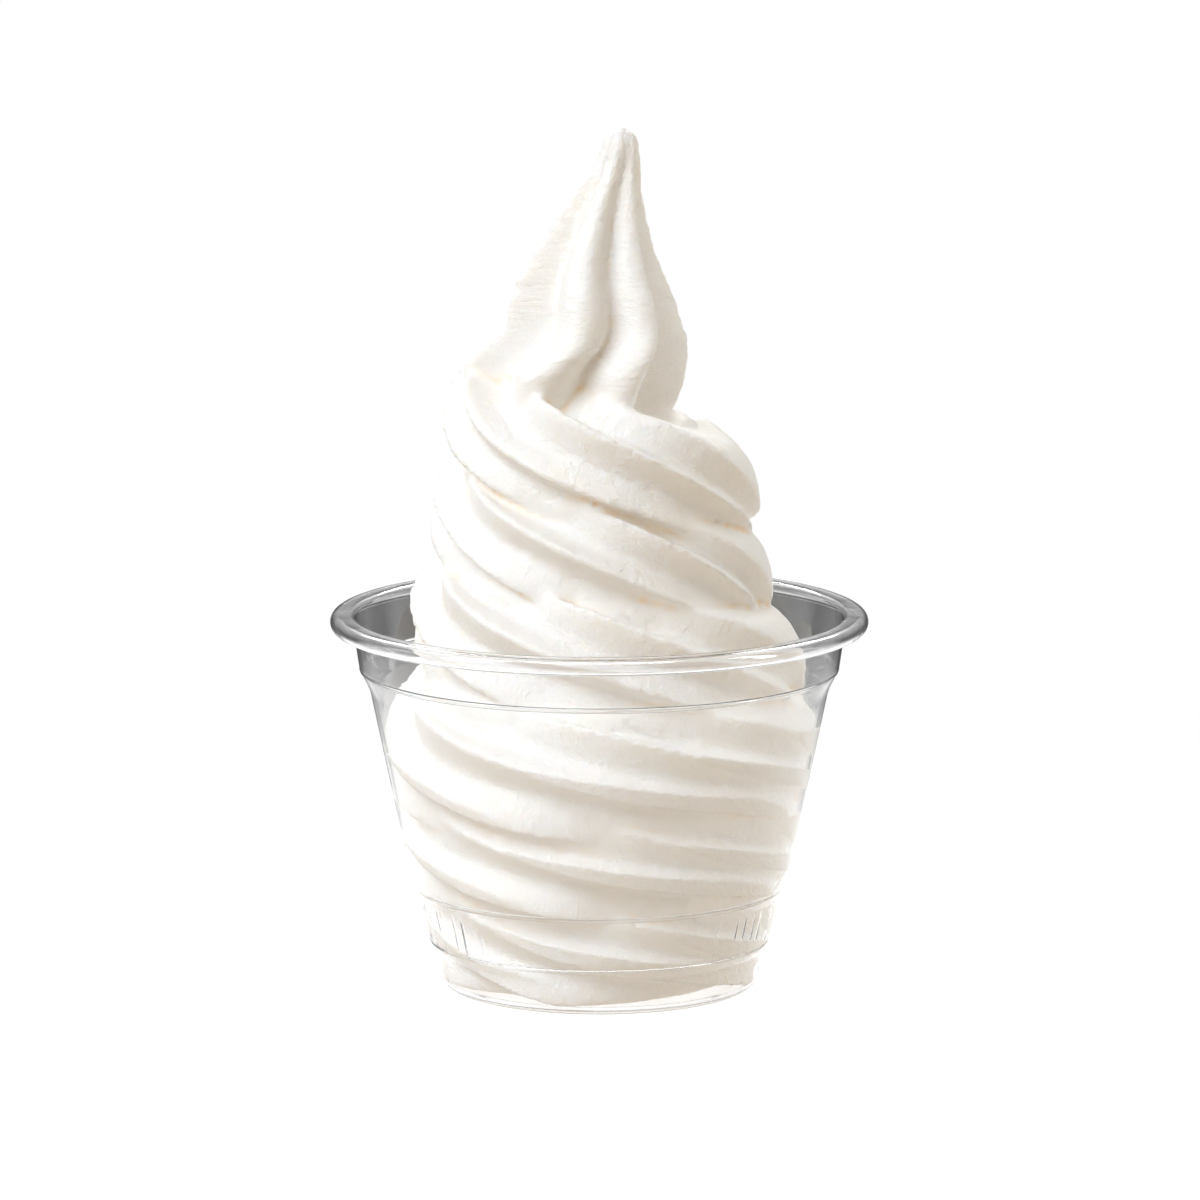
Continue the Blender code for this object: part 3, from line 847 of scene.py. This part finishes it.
def mesh_arrays(mesh):
    """Points, edges and normals of a mesh as arrays."""
    points = np.zeros(len(mesh.vertices) * 3)
    mesh.vertices.foreach_get("co", points)
    edges = np.zeros(len(mesh.edges) * 2, dtype=np.int64)
    mesh.edges.foreach_get("vertices", edges)
    normals = np.zeros(points.size)
    mesh.vertex_normals.foreach_get("vector", normals)
    return points.reshape(-1, 3), edges.reshape(-1, 2), normals.reshape(-1, 3)


def spread(values, edges, rounds):
    """Even values out over a mesh: each round moves every value halfway to the mean of its neighbours."""
    count = np.bincount(edges.ravel(), minlength=len(values))[:, None]
    for _ in range(rounds):
        total = np.stack([
            np.bincount(edges[:, 0], column[edges[:, 1]], len(values))
            + np.bincount(edges[:, 1], column[edges[:, 0]], len(values)) for column in values.T], 1)
        values = 0.5 * values + 0.5 * total / count
    return values


def hollows(points, edges, normals, voxel):
    """How far each point lies below the evened out surface: above 0 in a crevice, below 0 on a crest."""
    rounds = int((HOLLOW_REACH / voxel) ** 2)
    return np.einsum("ij,ij->i", spread(points, edges, rounds) - points, normals)


def junctions(along, edges):
    """1 where one turn of the rope meets another, fading to 0 away from it."""
    jump = np.abs(along[edges[:, 0]] - along[edges[:, 1]]) > JUNCTION_JUMP
    meets = np.zeros((len(along), 1))
    meets[edges[jump].ravel()] = 1.0
    return np.clip(JUNCTION_GAIN * spread(meets, edges, JUNCTION_ROUNDS)[:, 0], 0.0, 1.0)


def skin_noise(along, around, points):
    """Fine wrinkles across the rope, and soft lumps: two values for each point."""
    places = np.stack([along / WRINKLE_SPACING, WRINKLES_AROUND * np.cos(around),
                       WRINKLES_AROUND * np.sin(around)], 1)
    wrinkles = np.array([noise.fractal(Vector(place), *WRINKLE_OCTAVES) for place in places])
    lumps = np.array([noise.noise(Vector(point) / LUMP_SPACING) for point in points])
    return wrinkles, lumps


def add_attribute(mesh, name, kind, values):
    """Keep a value for each point of the mesh, for its material."""
    attribute = mesh.attributes.new(name, kind, "POINT")
    attribute.data.foreach_set("value" if kind == "FLOAT" else "vector", values.ravel())


def merged(swirl, voxel):
    """The mesh of a piece whose overlapping tubes are merged on a grid."""
    merge = swirl.modifiers.new("merge the turns", "REMESH")
    merge.mode = "VOXEL"
    merge.voxel_size = voxel
    mesh = evaluated_mesh(swirl)
    swirl.modifiers.clear()
    return mesh


def build_yogurt(settings, cup_settings):
    """The rope, its peak and the filling between the turns, merged, wrinkled and pressed into the cup."""
    coil = coil_path(settings)
    rope = even_steps(np.vstack([coil, turn_up_path(coil)]), ROPE_STEP)
    peak = even_steps(peak_path(), PEAK_STEP)
    star_rings = sweep(rope, settings) + sweep(peak, settings)
    rope_rings, peak_rings = star_rings[:len(rope)], star_rings[len(rope):]
    points, faces = tubes([rope_rings, peak_rings, core_rings(), seam_rings()])
    swirl = new_piece("yogurt", points, faces, yogurt_material(settings))
    voxel = settings.voxel * 1.0
    mesh = merged(swirl, voxel)
    swirl.data = mesh
    points, edges, normals = mesh_arrays(mesh)
    along, around = rope_places(points, star_rings, np.vstack([rope, peak]))
    hollow = hollows(points, edges, normals, voxel)
    crest = np.clip(-hollow / CREST_UNIT, 0.0, 1.0)
    wrinkles, lumps = skin_noise(along, around, points)
    lift = settings.wrinkles * (WRINKLES_OFF_CRESTS + crest) * wrinkles + settings.lumps * lumps
    points = press_into_cup(points + lift[:, None] * normals, cup_settings.sheet)
    mesh.vertices.foreach_set("co", points.ravel())
    fine = np.stack([along / FINE_SPACING, FINE_AROUND * np.cos(around), FINE_AROUND * np.sin(around)], 1)
    add_attribute(mesh, "rope_place", "FLOAT_VECTOR", fine)
    # The material paints crevice shade from the junction and hollow values
    add_attribute(mesh, "junction", "FLOAT", junctions(along, edges))
    add_attribute(mesh, "hollow", "FLOAT", np.clip(hollow / HOLLOW_UNIT, -1.0, 1.0))
    mesh.update()
    mesh.polygons.foreach_set("use_smooth", [True] * len(mesh.polygons))
    return swirl


# ---- stage --------------------------------------------------------------------------------------
def studio_color(nodes, across, up):
    """Greys that change with height, and a bright strip at either side."""
    ramp = nodes.add("ShaderNodeValToRGB")
    while len(ramp.color_ramp.elements) < len(STUDIO_GREYS):
        ramp.color_ramp.elements.new(1.0)
    for stop, (place, grey) in zip(ramp.color_ramp.elements, STUDIO_GREYS):
        stop.position = place
        stop.color = (grey, grey, grey, 1.0)
    nodes.link(nodes.ramp(up, -1.0, 1.0), ramp.inputs["Fac"])
    sideways = nodes.math("ABSOLUTE", across, 0.0)
    strip = nodes.ramp(sideways, *STUDIO_STRIPS)
    return nodes.mix(strip, ramp.outputs["Color"], (STRIP_GREY,) * 3)


def build_world(settings):
    """White behind all, an even warm fill on the yogurt, and a grey studio in what the clear cup bends."""
    world = bpy.data.worlds.new("studio")
    bpy.context.scene.world = world
    world.use_nodes = True
    world.node_tree.nodes.clear()
    nodes = Nodes(world.node_tree)
    place = nodes.add("ShaderNodeTexCoord")
    split = nodes.add("ShaderNodeSeparateXYZ")
    nodes.link(place.outputs["Generated"], split.inputs["Vector"])
    studio = nodes.add("ShaderNodeBackground")
    nodes.link(studio_color(nodes, split.outputs["X"], split.outputs["Z"]), studio.inputs["Color"])
    fill = nodes.add("ShaderNodeBackground", Color=(*settings.fill_color, 1.0))
    from_floor = nodes.ramp(split.outputs["Z"], -0.8, 0.1, settings.floor_glow, 1.0)
    nodes.link(from_floor, fill.inputs["Strength"])
    white = nodes.add("ShaderNodeBackground", Color=(1.0, 1.0, 1.0, 1.0))
    path = nodes.add("ShaderNodeLightPath")
    to_matte = nodes.mix_shaders(
        path.outputs["Is Diffuse Ray"], studio.outputs["Background"], fill.outputs["Background"])
    to_camera = nodes.mix_shaders(path.outputs["Is Camera Ray"], to_matte, white.outputs["Background"])
    nodes.link(to_camera, nodes.add("ShaderNodeOutputWorld").inputs["Surface"])


def add_softbox(name, bearing, elevation, size, power, color):
    """A rectangular area light that the camera doesn't see, aimed at the swirl.

    Its bearing is 0 in front, 90 at the right and 180 behind, in degrees. One with a colour lights the
    form, and one without lays only a white shine.
    """
    light = bpy.data.lights.new(name, "AREA")
    light.shape = "RECTANGLE"
    light.size = size[0]
    light.size_y = size[1]
    light.energy = power
    lamp = bpy.data.objects.new(name, light)
    bearing = math.radians(bearing)
    elevation = math.radians(elevation)
    level = math.cos(elevation)
    toward = Vector((level * math.sin(bearing), -level * math.cos(bearing), math.sin(elevation)))
    lamp.location = LIGHT_AIM + LIGHT_DISTANCE * toward
    lamp.rotation_euler = (-toward).to_track_quat("-Z", "Y").to_euler()
    lamp.visible_camera = False
    lamp.visible_transmission = False
    if color is None:
        lamp.visible_diffuse = False
    else:
        light.color = color
        lamp.visible_glossy = False
    bpy.context.scene.collection.objects.link(lamp)


def floor_material():
    """Pale and glowing, and fading out toward its edge."""
    material, nodes, shader = new_material("pale_floor")
    shader.inputs["Base Color"].default_value = (0.35, 0.35, 0.35, 1.0)
    shader.inputs["Roughness"].default_value = 0.6
    shader.inputs["Emission Color"].default_value = (1.0, 1.0, 1.0, 1.0)
    shader.inputs["Emission Strength"].default_value = 0.82
    place = nodes.add("ShaderNodeTexCoord").outputs["Object"]
    length = nodes.add("ShaderNodeVectorMath", operation="LENGTH")
    nodes.link(place, length.inputs[0])
    nodes.link(nodes.ramp(length.outputs["Value"], *FLOOR_FADE, 1.0, 0.0), shader.inputs["Alpha"])
    return material


def build_floor(radius):
    """A flat round floor under the cup."""
    mesh = bpy.data.meshes.new("floor")
    angle = np.linspace(0, 2 * math.pi, FLOOR_SIDES, endpoint=False)
    rim = [(radius * math.cos(a), radius * math.sin(a), 0.0) for a in angle]
    mesh.from_pydata(rim, [], [tuple(range(len(rim)))])
    mesh.materials.append(floor_material())
    floor = bpy.data.objects.new("floor", mesh)
    bpy.context.scene.collection.objects.link(floor)
    floor.visible_diffuse = False
    return floor


def add_camera(settings):
    """A long lens in front of the cup that looks down a little."""
    camera = bpy.data.cameras.new("camera")
    camera.lens = CAMERA_LENS
    camera.sensor_width = CAMERA_SENSOR
    camera.shift_x = CAMERA_SHIFT
    camera.clip_start = CAMERA_CLIP
    eye = bpy.data.objects.new("camera", camera)
    elevation = settings.camera_elevation
    toward = Vector((0.0, -math.cos(elevation), math.sin(elevation)))
    eye.location = CAMERA_AIM + settings.camera_distance * toward
    eye.rotation_euler = (CAMERA_AIM - eye.location).to_track_quat("-Z", "Y").to_euler()
    bpy.context.scene.collection.objects.link(eye)
    bpy.context.scene.camera = eye


def build_stage(settings):
    """The floor, the world, the lights and the camera."""
    floor = build_floor(settings.floor_radius)
    build_world(settings)
    for name, bearing, elevation, size, share, color in SOFTBOXES:
        add_softbox(name, bearing, elevation, size, settings.key_power * share, color)
    add_camera(settings)
    bpy.context.scene.view_settings.view_transform = "Standard"
    bpy.context.scene.view_settings.look = "None"


# ---- operators and panel ------------------------------------------------------------------------
class FROYO_OT_clear_cup(bpy.types.Operator):
    """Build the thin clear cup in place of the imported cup."""

    bl_idname = "froyo.clear_cup"
    bl_label = "Clear Cup"

    def execute(self, context):
        cup = build_cup(context.scene.froyo_cup)
        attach(cup, "root")
        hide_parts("cup")
        return {"FINISHED"}


class FROYO_OT_yogurt(bpy.types.Operator):
    """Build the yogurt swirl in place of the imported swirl."""

    bl_idname = "froyo.yogurt"
    bl_label = "Yogurt Swirl"

    def execute(self, context):
        swirl = build_yogurt(context.scene.froyo_yogurt, context.scene.froyo_cup)
        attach(swirl, "root")
        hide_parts("yogurt_swirl")
        return {"FINISHED"}


class FROYO_OT_stage(bpy.types.Operator):
    """Build the floor, the lights and the camera."""

    bl_idname = "froyo.stage"
    bl_label = "Stage"

    def execute(self, context):
        build_stage(context.scene.froyo_stage)
        return {"FINISHED"}


class FROYO_PT_panel(bpy.types.Panel):
    """Sizes and colors of the frozen yogurt cup."""

    bl_label = "Frozen Yogurt"
    bl_idname = "FROYO_PT_panel"
    bl_space_type = "VIEW_3D"
    bl_region_type = "UI"
    bl_category = "Frozen Yogurt"

    def draw(self, context):
        groups = (
            (context.scene.froyo_cup, CupSettings, FROYO_OT_clear_cup),
            (context.scene.froyo_yogurt, YogurtSettings, FROYO_OT_yogurt),
            (context.scene.froyo_stage, StageSettings, FROYO_OT_stage),
        )
        for settings, kind, operator in groups:
            box = self.layout.box()
            for name in kind.__annotations__:
                box.prop(settings, name)
            box.operator(operator.bl_idname)


CLASSES = (
    CupSettings,
    YogurtSettings,
    StageSettings,
    FROYO_OT_clear_cup,
    FROYO_OT_yogurt,
    FROYO_OT_stage,
    FROYO_PT_panel,
)


def register():
    for kind in CLASSES:
        bpy.utils.register_class(kind)
    bpy.types.Scene.froyo_cup = PointerProperty(type=CupSettings)
    bpy.types.Scene.froyo_yogurt = PointerProperty(type=YogurtSettings)
    bpy.types.Scene.froyo_stage = PointerProperty(type=StageSettings)


def unregister():
    del bpy.types.Scene.froyo_stage
    del bpy.types.Scene.froyo_yogurt
    del bpy.types.Scene.froyo_cup
    for kind in reversed(CLASSES):
        bpy.utils.unregister_class(kind)


def main():
    register()
    bpy.ops.froyo.clear_cup()
    bpy.ops.froyo.yogurt()
    bpy.ops.froyo.stage()


if __name__ == "__main__":
    main()
